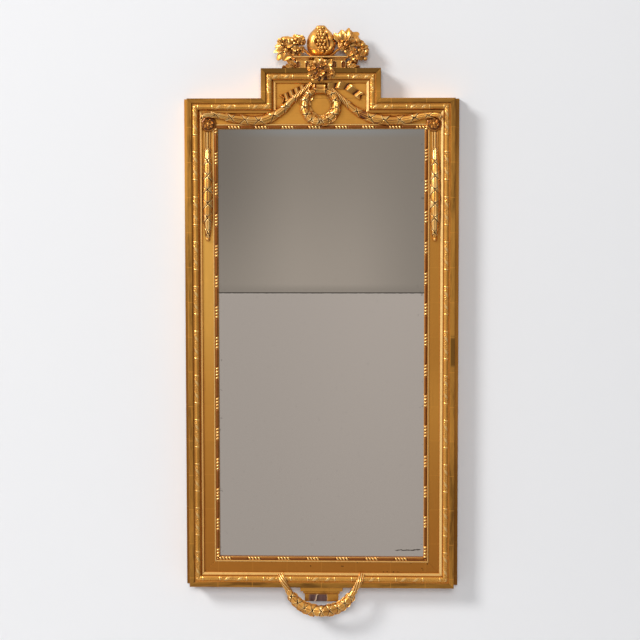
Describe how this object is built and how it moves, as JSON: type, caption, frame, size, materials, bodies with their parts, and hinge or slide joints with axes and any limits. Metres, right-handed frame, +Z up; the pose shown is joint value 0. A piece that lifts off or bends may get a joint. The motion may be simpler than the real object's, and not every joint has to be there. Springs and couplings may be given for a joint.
{
  "type": "pier mirror",
  "caption": "Tall giltwood wall mirror: two stacked plates in a moulded frame with a stepped crest, fruit finial, laurel garlands, wreath and swag, hung by iron rings.",
  "frame": {"origin": "on the flat back of the bottom rail, at the middle of its width, where the frame bears on the wall", "axes": "+X to the right of someone facing the mirror, +Y from the glass into the wall, +Z up"},
  "size_m": [0.647, 0.0769, 1.3969],
  "materials": {
    "carcass": "aged gilding over wood, thin and brown at the edges",
    "mouldings": "water gilding over red-brown bole, burnished and rubbed",
    "carving": "water gilding over red-brown bole, burnished high points",
    "mirror": "old tin-mercury silvering, greyed and spotted",
    "pine": "bare aged pine",
    "iron": "dark forged iron"
  },
  "bodies": {
    "mirror_frame": {"carcass_stile_left": "carcass", "carcass_stile_right": "carcass", "carcass_rail_bottom": "carcass", "carcass_rail_top": "carcass", "crest_panel": "carcass", "outer_band_bottom": "mouldings", "outer_band_right": "mouldings", "outer_band_shoulder_right": "mouldings", "outer_band_crest_right": "mouldings", "outer_band_crest_top": "mouldings", "outer_band_crest_left": "mouldings", "outer_band_shoulder_left": "mouldings", "outer_band_left": "mouldings", "ribbon_moulding_bottom": "mouldings", "ribbon_moulding_right": "mouldings", "ribbon_moulding_shoulder_right": "mouldings", "ribbon_moulding_crest_right": "mouldings", "ribbon_moulding_crest_top": "mouldings", "ribbon_moulding_crest_left": "mouldings", "ribbon_moulding_shoulder_left": "mouldings", "ribbon_moulding_left": "mouldings", "sight_beading_bottom": "mouldings", "sight_beading_right": "mouldings", "sight_beading_top": "mouldings", "sight_beading_left": "mouldings", "wreath": "carving", "ribbon_knot": "carving", "corner_rosette_left": "carving", "corner_rosette_right": "carving", "garland_left": "carving", "garland_right": "carving", "laurel_drop_left": "carving", "laurel_drop_right": "carving", "ribbon_tail_left": "carving", "ribbon_tail_right": "carving", "flower_bunch": "carving", "crest_plinth": "carving", "pomegranate": "carving", "fruit_spray_left": "carving", "fruit_spray_right": "carving", "apron_plinth": "carving", "apron_swag": "carving", "mirror_plate_upper": "mirror", "mirror_plate_lower": "mirror", "backboard_left": "pine", "backboard_centre": "pine", "backboard_right": "pine", "glazing_strip_left": "pine", "glazing_strip_right": "pine", "glazing_strip_bottom": "pine", "glazing_strip_top": "pine", "hanger_plate_left": "iron", "hanger_plate_right": "iron", "hanger_screw_upper_left": "iron", "hanger_screw_upper_right": "iron", "hanger_screw_lower_left": "iron", "hanger_screw_lower_right": "iron"},
    "ring_left": {"hanger_ring_left": "iron"},
    "ring_right": {"hanger_ring_right": "iron"}
  },
  "joints": [
    {"name": "ring_left_swing", "type": "hinge", "parent": "mirror_frame", "child": "ring_left", "pos_m": [-0.29675, -0.0053, 0.978], "axis": [1, 0, 0], "range_deg": [0, 180]},
    {"name": "ring_right_swing", "type": "hinge", "parent": "mirror_frame", "child": "ring_right", "pos_m": [0.29675, -0.0053, 0.978], "axis": [1, 0, 0], "range_deg": [0, 180]}
  ]
}
